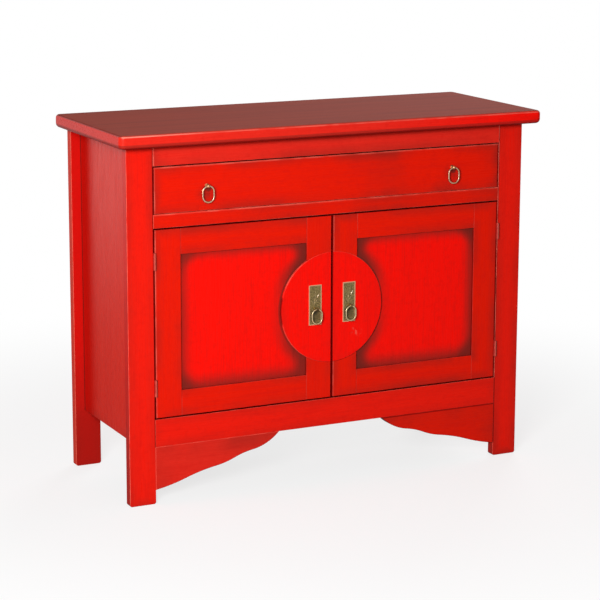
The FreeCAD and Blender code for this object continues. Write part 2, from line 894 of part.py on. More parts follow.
leg_leaves, door_leaves, pins = [], [], []
for hinge in ("lower_hinge", "upper_hinge"):
    end_knuckles = ("0", "2 * (knuckle_height + knuckle_gap)")
    leg_leaves.append(make_leaf("leg_leaf_" + hinge, hinge, "-leaf_thickness", end_knuckles))
    middle_knuckle = ("knuckle_height + knuckle_gap",)
    door_leaves.append(make_leaf("door_leaf_" + hinge, hinge, "hinge_gap", middle_knuckle))
    pin = new_body("pin_" + hinge, ("hinge_x", "hinge_y", hinge))
    round_item(pin, "AdditiveCylinder", ("0", "0", "0"), "z", "pin_radius", "hinge_height")
    pins.append(pin)
group("leg_hinge_leaves", leg_leaves + [mirror("right_" + leaf.Label, leaf) for leaf in leg_leaves])
group("hinge_pins", pins + [mirror("right_" + pin.Label, pin) for pin in pins])
group("left_door_hinge_leaves", door_leaves)
group("right_door_hinge_leaves", [mirror("right_" + leaf.Label, leaf) for leaf in door_leaves])


# Ring pulls

def make_post(name, place, grip):
    """A turned eye post: threaded shank, collar, neck and a ball that is drilled across for the ring."""
    body = new_body(name, place)
    sketch = new_sketch(body, "XY_Plane")
    shank, collar, neck = size("post_shank_radius"), size("post_collar_radius"), size("post_neck_radius")
    head, stand, step = size("post_head_radius"), size("post_stand"), size("post_collar_height")
    tail = size("post_tail") + size("door_thickness")
    lean = math.degrees(math.acos(neck / head))
    ball_start = math.sqrt(head**2 - neck**2) - stand
    corners = [(0, tail), (shank, tail), (shank, 0), (collar, 0), (collar, -step), (neck, -step)]
    corners.append((neck, ball_start))
    sides = [line(sketch, start, end) for start, end in zip(corners, corners[1:])]
    ball = arc(sketch, (0, -stand), head, -90, lean)
    axis = line(sketch, (0, -stand - head), (0, tail))
    for first, second in zip(sides, sides[1:]):
        join(sketch, first, END, second, START)
    join(sketch, sides[-1], END, ball, END)
    join(sketch, ball, START, axis, START)
    join(sketch, axis, END, sides[0], START)
    place_point(sketch, sides[0], START, "0", f"{grip} + post_tail")
    place_point(sketch, sides[1], START, "post_shank_radius", f"{grip} + post_tail")
    place_point(sketch, sides[2], START, "post_shank_radius", "0")
    place_point(sketch, sides[3], START, "post_collar_radius", "0")
    place_point(sketch, sides[4], START, "post_collar_radius", "-post_collar_height")
    place_point(sketch, sides[5], START, "post_neck_radius", "-post_collar_height")
    sketch.addConstraint(Sketcher.Constraint("Vertical", sides[5]))
    place_point(sketch, ball, MIDDLE, "0", "-post_stand")
    bind_radius(sketch, ball, "post_head_radius")
    sketch.addConstraint(Sketcher.Constraint("Vertical", axis))
    turned = body.newObject("PartDesign::Revolution", "turned")
    turned.Profile = sketch
    turned.ReferenceAxis = (sketch, ["V_Axis"])
    turned.Angle = 360
    round_item(
        body,
        "SubtractiveCylinder",
        ("-post_head_radius", "-post_stand", "0"),
        "x",
        "eye_radius",
        "2 * post_head_radius",
    )
    return body


def make_nut(name, place):
    """A hexagon nut on the shank, inside the drawer or door."""
    body = new_body(name, place)
    nut = body.newObject("PartDesign::AdditivePrism", "nut")
    nut.Polygon = 6
    nut.Placement = FreeCAD.Placement(FreeCAD.Vector(), TURNS["y"])
    bind(nut, {"Circumradius": "nut_radius", "Height": "nut_height"})
    round_item(
        body, "SubtractiveCylinder", ("0", "0", "0"), "y", "post_shank_radius + joint_fit", "nut_height"
    )
    return body


def make_ring(label, place, width, height):
    """A hanging ring: two half rounds and two straight sides, with its origin where the post holds it."""
    body = new_body(label, place)
    half = size(width) / 2 - size("wire_radius")
    low = half + 2 * size("wire_radius") - size(height)
    spine = new_sketch(body, "XZ_Plane")
    right_crown = arc(spine, (0, -half), half, 0, 90)
    right_side = line(spine, (half, -half), (half, low))
    foot = arc(spine, (0, low), half, 180, 360)
    left_side = line(spine, (-half, low), (-half, -half))
    left_crown = arc(spine, (0, -half), half, 90, 180)
    join(spine, right_crown, START, right_side, START, "Tangent")
    join(spine, right_side, END, foot, END, "Tangent")
    join(spine, foot, START, left_side, START, "Tangent")
    join(spine, left_side, END, left_crown, END, "Tangent")
    join(spine, left_crown, START, right_crown, END)
    join(spine, right_crown, MIDDLE, left_crown, MIDDLE)
    join(spine, right_crown, END, -1, START)
    place_point(spine, right_crown, MIDDLE, "0", f"wire_radius - {width} / 2")
    place_point(spine, foot, MIDDLE, "0", f"{width} / 2 + wire_radius - {height}")
    section = new_sketch(body, "YZ_Plane")
    circle = Part.Circle(FreeCAD.Vector(), FreeCAD.Vector(0, 0, 1), size("wire_radius"))
    wire = section.addGeometry(circle)
    join(section, wire, MIDDLE, -1, START)
    bind_radius(section, wire, "wire_radius")
    pipe = body.newObject("PartDesign::AdditivePipe", "ring")
    pipe.Profile = section
    doc.recompute()
    pipe.Spine = (spine, [f"Edge{number}" for number in range(1, 6)])
    parts[label] = body
    return body


DRAWER_PULL = ("-drawer_pull_inset", "front_face", "drawer_post_height")
DRAWER_EYE = ("-drawer_pull_inset", "front_face - post_stand", "drawer_post_height")
DRAWER_NUT = ("-drawer_pull_inset", "front_face + drawer_front_thickness", "drawer_post_height")
pair("drawer_ring_posts", make_post("left_drawer_post", DRAWER_PULL, "drawer_front_thickness"))
pair("drawer_post_nuts", make_nut("left_drawer_nut", DRAWER_NUT))
drawer_ring = make_ring("left_drawer_ring", DRAWER_EYE, "drawer_ring_width", "drawer_ring_height")
mirrored_part("right_drawer_ring", drawer_ring)

PLATE_FIELD = "plate_thickness - plate_field_depth"
DOOR_PULL = ("-door_pull_inset", f"front_face - ({PLATE_FIELD})", "door_middle")
DOOR_EYE = ("-door_pull_inset", f"front_face - ({PLATE_FIELD}) - post_stand", "door_middle")
DOOR_NUT = ("-door_pull_inset", "door_back", "door_middle")
plate = board(
    "left_door_plate",
    (
        "-door_pull_inset - plate_width / 2",
        "front_face - plate_thickness",
        "door_middle + plate_lift - plate_height / 2",
    ),
    ("plate_width", "plate_thickness", "plate_height"),
    eased=False,
)
cut_box(
    plate,
    ("plate_rim", "0", "plate_rim"),
    ("plate_width - 2 * plate_rim", "plate_field_depth", "plate_height - 2 * plate_rim"),
)
round_item(
    plate,
    "SubtractiveCylinder",
    ("plate_width / 2", "0", "plate_height / 2 - plate_lift"),
    "y",
    "post_shank_radius + joint_fit",
    "plate_thickness",
)
door_post = make_post("left_door_ring_post", DOOR_PULL, f"door_thickness + {PLATE_FIELD}")
door_nut = make_nut("left_door_post_nut", DOOR_NUT)
door_ring = make_ring("left_door_ring", DOOR_EYE, "door_ring_width", "door_ring_height")
mirrored_part("right_door_ring", door_ring)


# Magnetic catches and the strikes that they hold

strike = board(
    "left_door_catch_strike",
    (
        "-door_pull_inset - strike_width / 2",
        "door_back",
        "shelf_top - shelf_thickness - catch_height / 2 - strike_height / 2",
    ),
    ("strike_width", "strike_thickness", "strike_height"),
    eased=False,
)
CATCH_FRONT = "door_back + strike_thickness + catch_gap"
catch = loose_board(
    "left_catch",
    ("-door_pull_inset - catch_width / 2", CATCH_FRONT, "shelf_top - shelf_thickness - catch_height"),
    ("catch_width", "catch_depth", "catch_height"),
)
pair("door_catches", catch)

parts["left_door_ring_post"] = door_post
parts["left_door_post_nut"] = door_nut
for piece in (hinge_stile, meeting_stile, door_panel, half_moon, plate, door_post, door_nut, strike):
    mirrored_part(piece.Label.replace("left_", "right_"), piece)


# Checks and files

doc.recompute()
failed = [item.Name for item in doc.Objects if {"Invalid", "Error"} & set(item.State)]
if failed:
    raise RuntimeError("not built: " + ", ".join(failed))
for label, item in parts.items():
    if item.Shape.isNull() or not item.Shape.isValid() or not item.Shape.Solids:
        raise RuntimeError("no sound solid: " + label)

os.makedirs("parts", exist_ok=True)
for label, item in parts.items():
    solids = item.Shape.Solids
    shape = solids[0] if len(solids) == 1 else Part.makeCompound(solids)
    shape.exportStep(f"parts/{label}.step")
print(len(parts), "pieces written")
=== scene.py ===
"""The looks of the sideboard, in metres: worn red lacquer, aged brass, stained wood, studio and camera."""

import functools
import math
from dataclasses import dataclass, replace

import bmesh
import bpy
from mathutils import Matrix, Vector


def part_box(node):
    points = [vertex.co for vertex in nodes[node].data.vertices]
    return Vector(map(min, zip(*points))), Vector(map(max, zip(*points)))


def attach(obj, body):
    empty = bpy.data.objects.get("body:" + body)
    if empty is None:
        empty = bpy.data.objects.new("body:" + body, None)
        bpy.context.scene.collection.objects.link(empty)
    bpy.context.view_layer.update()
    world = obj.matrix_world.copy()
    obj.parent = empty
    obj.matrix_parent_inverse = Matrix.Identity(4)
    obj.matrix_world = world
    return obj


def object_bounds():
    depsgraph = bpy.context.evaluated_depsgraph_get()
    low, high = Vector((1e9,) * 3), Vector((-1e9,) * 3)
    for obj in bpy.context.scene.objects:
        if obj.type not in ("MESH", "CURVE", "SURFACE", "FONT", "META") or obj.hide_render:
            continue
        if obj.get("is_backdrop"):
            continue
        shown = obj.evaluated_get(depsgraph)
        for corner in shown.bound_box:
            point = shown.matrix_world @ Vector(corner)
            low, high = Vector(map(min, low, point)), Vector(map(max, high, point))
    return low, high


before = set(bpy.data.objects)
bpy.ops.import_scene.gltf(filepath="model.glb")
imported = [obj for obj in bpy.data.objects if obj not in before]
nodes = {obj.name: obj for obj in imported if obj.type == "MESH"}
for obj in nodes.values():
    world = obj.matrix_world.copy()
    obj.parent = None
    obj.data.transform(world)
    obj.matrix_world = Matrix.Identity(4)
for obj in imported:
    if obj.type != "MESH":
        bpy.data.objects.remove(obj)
cad_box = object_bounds()

MM = 0.001
X, Y, Z = range(3)
LOW, HIGH = range(2)
SIDES = ("left", "right")

# Colours, in linear light
RED = (0.85, 0.011, 0.004, 1)
SIDE_RED = (0.85, 0.018, 0.004, 1)
# Painted sheen: a paler red for faces that look sideways
SHEEN_RED = (0.85, 0.06, 0.035, 1)
PANEL_RED = (1.0, 0.005, 0.002, 1)
FRAME_RED = (0.80, 0.010, 0.0015, 1)
DULL_RED = (0.78, 0.022, 0.012, 1)
DEEP_RED = (0.62, 0.006, 0.004, 1)
BROWN = (0.17, 0.017, 0.012, 1)
# Painted shade: the red of gaps, undersides and the shadow under the top
SHADE_RED = (0.22, 0.001, 0.001, 1)
# Wear, and painted highlights on eased edges and in thin lines
WEAR_AND_HIGHLIGHT_PINK = (0.88, 0.15, 0.105, 1)
# Wear and painted highlight by the top's left front corner
CHALK_PINK = (0.95, 0.38, 0.29, 1)
TOP_BROWN = (0.42, 0.063, 0.038, 1)
TOP_STREAK = (0.35, 0.057, 0.037, 1)
BRASS = (0.93, 0.53, 0.26, 1)
RING_BRASS = (0.85, 0.69, 0.38, 1)
# Painted reflection: brass with the pink of the red lacquer in it, for the drawer rings' fronts
RED_REFLECTING_BRASS = (1.0, 0.60, 0.42, 1)
RIM_BRASS = (0.85, 0.48, 0.27, 1)
# Painted highlight on one leaf of the sprig
HIGHLIGHT_BRASS = (0.95, 0.80, 0.58, 1)
WORN_BRONZE = (0.62, 0.45, 0.24, 1)
BRONZE = (0.38, 0.27, 0.10, 1)
PATINA = (0.11, 0.086, 0.032, 1)
# Grime, and painted shade on the door rings' sides and round the plates' rings
GRIME_AND_SHADE = (0.045, 0.035, 0.018, 1)
WARM = (1.0, 0.93, 0.75, 1)
WOOD = (0.36, 0.20, 0.10, 1)
WOOD_STREAK = (0.24, 0.125, 0.06, 1)
HINGE_RED = (0.42, 0.018, 0.012, 1)
STEEL = (0.50, 0.48, 0.46, 1)
PLASTIC = (0.10, 0.055, 0.035, 1)
WHITE = (1, 1, 1, 1)


# Shader building

class Graph:
    """Adds shader nodes to a material or a world in few words."""

    def __init__(self, tree):
        self.tree = tree

    def add(self, kind, inputs=None, **settings):
        """A new node with its settings, and its inputs fed by links or plain values."""
        node = self.tree.nodes.new("ShaderNode" + kind)
        for name, value in settings.items():
            setattr(node, name, value)
        for socket, value in (inputs or {}).items():
            self.feed(node.inputs[socket], value)
        return node

    def feed(self, socket, value):
        """Links a socket to an output, or sets its value."""
        if isinstance(value, bpy.types.NodeSocket):
            self.tree.links.new(value, socket)
        else:
            socket.default_value = value

    def math(self, operation, first, second=0.0):
        """The result of one sum."""
        return self.add("Math", {0: first, 1: second}, operation=operation).outputs[0]

    def chain(self, operation, values):
        """One sum after another over several values."""
        return functools.reduce(lambda first, second: self.math(operation, first, second), values)

    def lowest(self, values):
        """The lowest of several values."""
        return self.chain("MINIMUM", values)

    def highest(self, values):
        """The highest of several values."""
        return self.chain("MAXIMUM", values)

    def product(self, values):
        """Several values multiplied."""
        return self.chain("MULTIPLY", values)

    def total(self, values):
        """Several values added."""
        return self.chain("ADD", values)

    def rest(self, value):
        """What is left of one."""
        return self.math("SUBTRACT", 1.0, value)

    def length(self, offsets):
        """The length of a line with given offsets along two axes."""
        return self.math("SQRT", self.total([self.product((offset, offset)) for offset in offsets]))

    def fade(self, value, none, full, most=1.0, least=0.0):
        """Goes smoothly from the least, where the value is at none, to the most, where it is at full."""
        sockets = {"Value": value, "From Min": none, "From Max": full, "To Min": least, "To Max": most}
        return self.add("MapRange", sockets, interpolation_type="SMOOTHSTEP").outputs["Result"]

    def split(self, vector):
        """The three parts of a vector."""
        return tuple(self.add("SeparateXYZ", {0: vector}).outputs)

    def noise(self, place, scale, stretch=(1, 1, 1), detail=3.0):
        """Cloudy noise, drawn out along an axis by a small stretch factor."""
        drawn = self.add("VectorMath", {0: place, 1: stretch}, operation="MULTIPLY").outputs[0]
        sockets = {"Vector": drawn, "Scale": scale, "Detail": detail}
        return self.add("TexNoise", sockets).outputs["Fac"]

    def blend(self, amount, first, second):
        """A colour between two colours."""
        return self.add("Mix", {0: amount, 6: first, 7: second}, data_type="RGBA").outputs[2]

    def between(self, amount, first, second):
        """A number between two numbers."""
        return self.add("Mix", {0: amount, 2: first, 3: second}, data_type="FLOAT").outputs[0]

    def bump(self, height, strength, distance):
        """A normal that follows a height."""
        sockets = {"Height": height, "Strength": strength, "Distance": distance}
        return self.add("Bump", sockets).outputs["Normal"]


def new_material(name, **sockets):
    """An empty principled material with plain values on its sockets."""
    material = bpy.data.materials.new(name)
    material.use_nodes = True
    shader = material.node_tree.nodes["Principled BSDF"]
    for socket, value in sockets.items():
        shader.inputs[socket.replace("_", " ")].default_value = value
    return material, Graph(material.node_tree), shader


def paint(node, material):
    """Gives a CAD node one material."""
    mesh = nodes[node].data
    mesh.materials.clear()
    mesh.materials.append(material)


def middle_of(node):
    """The middle of a node's box, across and up."""
    low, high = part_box(node)
    return (low.x + high.x) / 2, (low.z + high.z) / 2


GRAIN = {"x": (0.05, 1, 1), "y": (1, 0.05, 1), "z": (1, 1, 0.05)}


# Distances on a board

def from_side(graph, place, board, axis, end):
    """How far a point is inside one side of a board."""
    if end == LOW:
        return graph.math("SUBTRACT", place[axis], board[LOW][axis])
    return graph.math("SUBTRACT", board[HIGH][axis], place[axis])


def from_sides(graph, place, board):
    """How far a point is inside the nearer side of a board, along each axis."""
    return [
        graph.lowest([from_side(graph, place, board, axis, end) for end in (LOW, HIGH)])
        for axis in (X, Y, Z)
    ]


def from_outline(graph, place, outline):
    """How far a point is inside the left, right, lower and upper side of an outline."""
    return [from_side(graph, place, outline, axis, end) for axis in (X, Z) for end in (LOW, HIGH)]


def from_point(graph, place, middle):
    """How far a point of a front is from a given across and height."""
    return graph.length([graph.math("SUBTRACT", place[axis], at) for axis, at in zip((X, Z), middle)])


# Burnish on a sunk door panel

PANEL_BANDS = (
    # reach and strength from the left, right, lower and upper side of the opening
    (40 * MM, 0.66),
    (40 * MM, 0.66),
    (46 * MM, 0.68),
    (33 * MM, 0.60),
)
BEHIND_RIM = -3 * MM


def clear_of_corners(graph, sides):
    """Falls from one towards the corners of an opening."""
    rounding = 75 * MM
    inside, outside = 10 * MM, 22 * MM
    nearer = [graph.lowest(pair) for pair in (sides[:2], sides[2:])]
    into_corner = [graph.highest((graph.math("SUBTRACT", rounding, side), 0.0)) for side in nearer]
    return graph.fade(graph.length(into_corner), rounding - inside, rounding + outside, 0.45, 1.0)


def clear_of_moon(graph, place, moon):
    """Falls from one towards the half-moon, least at its level, and sharply in a fine line round it."""
    height, radius = moon
    shade_reach = 44 * MM
    line_end, line_full = 6 * MM, 2 * MM
    from_rim = graph.math("SUBTRACT", from_point(graph, place, (0.0, height)), radius)
    off_level = graph.math("ABSOLUTE", graph.math("SUBTRACT", place[Z], height))
    strength = graph.fade(off_level, 0.1 * radius, 0.9 * radius, 0.9, 0.4)
    shade = graph.product((graph.fade(from_rim, shade_reach, BEHIND_RIM), strength))
    return [graph.rest(shade), graph.fade(from_rim, line_end, line_full, 0.3, 1.0)]


def panel_shade(graph, place, opening, moon):
    """Dark along the frame and the half-moon, and most in the corners."""
    sides = from_outline(graph, place, opening)
    clear = [
        graph.fade(side, reach, BEHIND_RIM, 1 - strength, 1.0)
        for side, (reach, strength) in zip(sides, PANEL_BANDS)
    ]
    clear.append(clear_of_corners(graph, sides))
    clear += clear_of_moon(graph, place, moon)
    return graph.fade(graph.product(clear), 1.0, 0.0)


# Lacquer

TOP_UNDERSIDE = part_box("top_panel")[LOW].z
OPENING_HALF = -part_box("front_left_leg")[HIGH].x
BACK_SEAM, BACK_FACE = (corner.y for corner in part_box("back_left_leg"))
RAIL_LOW, RAIL_HIGH = (corner.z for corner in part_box("bottom_rail"))
FAR_BELOW = -1.0

# Noise: how many patches to the metre, and how far each board's noise is moved from the last one's
STREAK_SCALE = 55
FINE_SCALE = 260
CLOUD_SCALE = 7
MOTTLE_SCALE = 90
SCUFF_SCALE = 30
SHADE_AND_GRIME_SCALE = 45
SPECK_SCALE = 130
SEED_STEP = (0.37, 0.61, 0.23)

# Fades by noise: where an effect starts and where it is full, then its most and least if not one and none
STREAKS = (0.46, 0.80, 0.22)
FINE_STREAKS = (0.45, 0.75, 0.3)
MOTTLING = (0.45, 0.75, 0.22)
EDGE_PATCHES = (0.2, 0.8)
RIGHT_CLOUDS = (0.4, 0.65)
PANEL_UNEVENNESS = (0.1, 0.75, 1.0, 0.7)
SMUDGES = (0.35, 0.7, 0.4)
SHADE_AND_GRIME_PATCHES = (0.3, 0.65, 1.0, 0.35)
SCUFFING = (0.35, 0.62, 0.85, 0.3)
SPECKS = (0.56, 0.66, 0.5)
GLOSS = (0.25, 0.75, 0.36, 0.24)

# Fades by the way a face looks, given in the same order
FORWARD = (-0.2, -0.6)
SIDEWAYS = (0.5, 0.8)
EASED = (0.97, 0.85)
EDGE_FACE = (0.85, 0.55, 0.95)
NOT_UPWARD = (0.1, -0.1)
DOWNWARD = (-0.1, -0.5)
UNWORN_BELOW = (-0.1, -0.3)
RIM_FACE = (0.2, 0.5, 0.9)


@dataclass(frozen=True)
class Look:
    """How one board's lacquer differs from plain red."""

    # The red, and how much it shines
    red: tuple = RED
    sheen: float = 0.12
    # Burnish towards the board's edges: its most, and how far in it reaches
    edge_strength: float = 0.42
    edge_reach: float = 26 * MM
    # More brown: an even glaze, painted shade on the foot, clouds at the right, patchy painted shade and
    # grime round points, and spots of painted shadow
    glaze: float = 0.0
    foot_shade: float = 0.0
    clouded: float = 0.0
    shade_and_grime: tuple = ()
    shadow_spots: tuple = ()
    # A door's opening and half-moon, for its panel, and its opening, for its frame
    panel: tuple = ()
    opening: tuple = ()
    # Outer sides: a painted sheen of paler red, painted shade with burnish low down, or painted shade and
    # less sheen from one depth to another
    pale_side: bool = False
    dark_side: float = 0.0
    back_shade_between: tuple = ()
    # Painted shade in the gaps, on the faces that don't look forward, and whether those that look up stay red
    shaded_gaps: bool = False
    pale_top: bool = False
    # Painted shade: on a leg's inner face by heights, on rims by axis, in lines by axis and end, and on faces
    # that look down
    shaded_inner: tuple = ()
    shaded_rims: tuple = ()
    shade_lines: tuple = ()
    shaded_under: float = 0.0
    # Wear and painted highlight on eased edges, by the board's sides and further in; painted highlights in
    # lines by axis and end; and wear round one point
    wear_and_highlight_at_rim: float = 1.0
    wear_and_highlight_within: float = 0.3
    highlight_lines: tuple = ()
    scuff: tuple = ()


class Lacquer:
    """Red lacquer on one board, laid on as red, brown burnish, painted shade in gaps and under things, and
    wear with painted highlights.
    """

    def __init__(self, node, grain, board, number, look):
        shine = {"Specular_IOR_Level": look.sheen, "Specular_Tint": WARM}
        self.material, self.graph, self.shader = new_material(node + "_lacquer", **shine)
        self.node = node
        self.board = board
        self.look = look
        graph = self.graph
        coordinates = graph.add("TexCoord").outputs
        shift = [number * step for step in SEED_STEP]
        self.seed = graph.add("VectorMath", {0: coordinates["Object"], 1: shift}, operation="ADD").outputs[0]
        self.place = graph.split(coordinates["Object"])
        self.normal = graph.split(coordinates["Normal"])
        self.facing = [graph.math("ABSOLUTE", part) for part in self.normal]
        self.front = graph.fade(self.normal[Y], *FORWARD)
        self.from_sides = from_sides(graph, self.place, board)
        self.streaks = graph.noise(self.seed, STREAK_SCALE, GRAIN[grain])
        self.fine = graph.noise(self.seed, FINE_SCALE, GRAIN[grain])
        self.clouds = graph.noise(self.seed, CLOUD_SCALE)
        self.scuffed = graph.fade(graph.noise(self.seed, SCUFF_SCALE), *SCUFFING)

    def apply(self):
        """Lays on every layer and paints the board."""
        graph = self.graph
        self.colour = self.ground()
        self.worn_and_lit = self.edge_wear_and_highlight()
        self.lay_red()
        self.burnish()
        self.darken()
        self.rub_and_highlight()
        graph.feed(self.shader.inputs["Base Color"], self.colour)
        graph.feed(self.shader.inputs["Roughness"], self.roughness())
        graph.feed(self.shader.inputs["Normal"], graph.bump(self.fine, strength=0.08, distance=0.4 * MM))
        paint(self.node, self.material)

    def tint(self, amount, colour):
        """Lays a colour over what is there."""
        self.colour = self.graph.blend(amount, self.colour, colour)

    def spare(self, amount):
        """Takes wear and painted highlight away."""
        self.worn_and_lit = self.graph.product((self.worn_and_lit, self.graph.rest(amount)))

    def ground(self):
        """The red under the grain."""
        return self.look.red

    def lay_red(self):
        """Red with streaks along the grain, fine streaks and mottling, a painted sheen on the sides, and
        painted shade towards the back.
        """
        graph, look = self.graph, self.look
        mottle = graph.noise(self.seed, MOTTLE_SCALE)
        for pattern, fade in ((self.streaks, STREAKS), (self.fine, FINE_STREAKS), (mottle, MOTTLING)):
            self.tint(graph.fade(pattern, *fade), DEEP_RED)
        if look.pale_side:
            # Painted sheen on the faces that look sideways
            self.tint(graph.fade(self.facing[X], *SIDEWAYS), SHEEN_RED)
        if look.back_shade_between:
            self.dull_back()

    def dull_back(self):
        """Painted shade towards the back: deeper red with little sheen, and a dark line of painted shade in
        the corner at the back leg.
        """
        graph, look = self.graph, self.look
        line_start, line_full = BACK_SEAM - 7 * MM, BACK_SEAM - 2 * MM
        least_sheen = 0.03
        dull = graph.fade(self.place[Y], *look.back_shade_between, 0.9)
        self.tint(dull, DEEP_RED)
        # A line of painted shade in the corner at the back leg
        self.tint(graph.fade(self.place[Y], line_start, line_full, 0.85), BROWN)
        sheen = graph.fade(dull, 0.0, 1.0, least_sheen, look.sheen)
        graph.feed(self.shader.inputs["Specular IOR Level"], sheen)

    def from_edge(self):
        """How far a point is from the nearest edge of its face on the board."""
        graph = self.graph
        far = 10.0
        off_face = [graph.math("MULTIPLY", part, far) for part in self.facing]
        return graph.lowest([graph.total(pair) for pair in zip(self.from_sides, off_face)])

    def burnish(self):
        """Brown over the board, or over a panel by the shape of its opening, and in marks on it, some of them
        painted shade and shadow.
        """
        look = self.look
        marks = [self.panel_burnish() if look.panel else self.edge_burnish()]
        if look.opening:
            marks.append(self.frame_smudge())
        marks += [self.patchy_shade_and_grime(middle) for middle in look.shade_and_grime]
        marks += [self.shadow_spot(middle) for middle in look.shadow_spots]
        self.tint(self.graph.highest(marks), BROWN)

    def edge_burnish(self):
        """Brown in patches towards the edges, with the glaze, the painted shade on the foot and the clouds of
        the look.
        """
        graph, look = self.graph, self.look
        foot_top, foot_low = 350 * MM, 50 * MM
        cloud_start, cloud_full = -100 * MM, 300 * MM
        near_edge = graph.fade(self.from_edge(), look.edge_reach, 0.0)
        layers = [graph.product((near_edge, graph.fade(self.clouds, *EDGE_PATCHES, look.edge_strength)))]
        if look.glaze:
            layers.append(graph.product((self.front, look.glaze)))
        # Painted shade low down on the front
        if look.foot_shade:
            low_down = graph.fade(self.place[Z], foot_top, foot_low, look.foot_shade)
            layers.append(graph.product((self.front, low_down)))
        if look.clouded:
            to_the_right = graph.fade(self.place[X], cloud_start, cloud_full, look.clouded)
            layers.append(graph.product((to_the_right, graph.fade(self.clouds, *RIGHT_CLOUDS))))
        return graph.total(layers)

    def panel_burnish(self):
        """The shade of a sunk panel, a little uneven, on its front alone."""
        graph = self.graph
        fine_share = 0.3
        uneven = graph.total((self.clouds, graph.product((self.fine, fine_share))))
        shade = panel_shade(graph, self.place, *self.look.panel)
        return graph.product((shade, graph.fade(uneven, *PANEL_UNEVENNESS), self.front))

    def frame_smudge(self):
        """Brown smudges on a door's frame, round its opening."""
        graph = self.graph
        reach = 24 * MM
        inside = graph.lowest(from_outline(graph, self.place, self.look.opening))
        return graph.product((graph.fade(inside, -reach, 0.0), graph.fade(self.clouds, *SMUDGES)))

    def patchy_shade_and_grime(self, middle):
        """Patchy brown round a point of the front: painted shade and grime."""
        graph = self.graph
        reach = 34 * MM
        round_point = graph.fade(from_point(graph, self.place, middle), reach, 0.0, 0.6)
        patchy = graph.fade(graph.noise(self.seed, SHADE_AND_GRIME_SCALE), *SHADE_AND_GRIME_PATCHES)
        return graph.product((round_point, patchy, self.front))

    def shadow_spot(self, middle):
        """A small spot of painted shadow on the front."""
        graph = self.graph
        reach, core = 12 * MM, 3 * MM
        spot = graph.fade(from_point(graph, self.place, middle), reach, core, 0.95)
        return graph.product((spot, self.front))

    def edge_wear_and_highlight(self):
        """Wear and painted highlight in patches on the eased edges, by how near the board's sides they are.
        """
        graph, look = self.graph, self.look
        rim_end, rim_full = 8 * MM, 2 * MM
        # Wear and painted highlight on the eased edges
        eased = graph.fade(graph.highest(self.facing), *EASED)
        from_rim = graph.lowest((self.from_sides[X], self.from_sides[Z]))
        by_rim = graph.fade(from_rim, rim_end, rim_full, look.wear_and_highlight_at_rim, look.wear_and_highlight_within)
        return graph.product((eased, self.scuffed, by_rim))

    def darken(self):
        """Painted shade, which is not worn: a painted shadow under the top, and painted shade in gaps, on
        faces that look down, low on the sides, on rims and in lines.
        """
        graph, look = self.graph, self.look
        strip_low, strip_full = TOP_UNDERSIDE - 13 * MM, TOP_UNDERSIDE - 1 * MM
        side_high, side_full = 350 * MM, 100 * MM
        # A painted shadow under the top
        self.tint(graph.fade(self.place[Z], strip_low, strip_full, 0.9), SHADE_RED)
        if look.shaded_gaps:
            self.shade_edge_faces()
        if look.shaded_inner:
            self.shade_inner_face()
        if look.shaded_under:
            # Painted shade on faces that look down
            self.tint(graph.fade(self.normal[Z], *DOWNWARD, look.shaded_under), BROWN)
            self.spare(graph.fade(self.normal[Z], *UNWORN_BELOW))
        if look.dark_side:
            # Painted shade and burnish low on the faces that look sideways
            low_down = graph.fade(self.place[Z], side_high, side_full, look.dark_side)
            self.tint(graph.product((graph.fade(self.facing[X], *SIDEWAYS), low_down)), BROWN)
        for axis in look.shaded_rims:
            self.shade_rim(axis)
        for axis, end in look.shade_lines:
            self.draw_shade_line(axis, end)

    def shade_edge_faces(self):
        """Painted shade on the faces round the gaps between boards."""
        graph = self.graph
        edge_face = graph.fade(self.facing[Y], *EDGE_FACE)
        if self.look.pale_top:
            edge_face = graph.product((edge_face, graph.fade(self.normal[Z], *NOT_UPWARD)))
        self.tint(edge_face, SHADE_RED)

    def shade_inner_face(self):
        """Painted shade on the face beside the opening from one height up, with an edge that is not worn up
        to another.
        """
        graph = self.graph
        low, high = self.look.shaded_inner
        face_end, face_full = OPENING_HALF + 2.5 * MM, OPENING_HALF + 1.5 * MM
        inner_face = graph.fade(graph.math("ABSOLUTE", self.place[X]), face_end, face_full, 0.95)
        dark = graph.product((inner_face, graph.math("GREATER_THAN", self.place[Z], low)))
        self.tint(dark, SHADE_RED)
        self.spare(graph.product((dark, graph.math("LESS_THAN", self.place[Z], high))))

    def shade_rim(self, axis):
        """Painted shade on the faces at the two ends of an axis."""
        graph = self.graph
        rim_end, rim_full = 5 * MM, 3 * MM
        turned = graph.fade(self.facing[axis], *RIM_FACE)
        rim_face = graph.product((turned, graph.fade(self.from_sides[axis], rim_end, rim_full)))
        self.tint(rim_face, SHADE_RED)
        self.spare(rim_face)

    def draw_shade_line(self, axis, end):
        """A thin line of painted shade along one side of the front."""
        graph = self.graph
        line_end, line_full = 3.5 * MM, 1.5 * MM
        inside = from_side(graph, self.place, self.board, axis, end)
        self.tint(graph.product((graph.fade(inside, line_end, line_full, 0.8), self.front)), SHADE_RED)

    def highlight_line(self, axis, end):
        """A thin painted highlight just inside one side of the front, fainter towards the right."""
        graph = self.graph
        start, full = 0.3 * MM, 1.2 * MM
        fading, gone = 2.2 * MM, 3.6 * MM
        inside = from_side(graph, self.place, self.board, axis, end)
        strength = graph.fade(self.place[X], cad_box[HIGH].x, -cad_box[HIGH].x, 0.75, 0.2)
        line = graph.product((graph.fade(inside, start, full), graph.fade(inside, gone, fading), strength))
        return graph.product((line, self.scuffed, self.front))

    def rub_and_highlight(self):
        """Lays on the wear and the painted highlights."""
        look = self.look
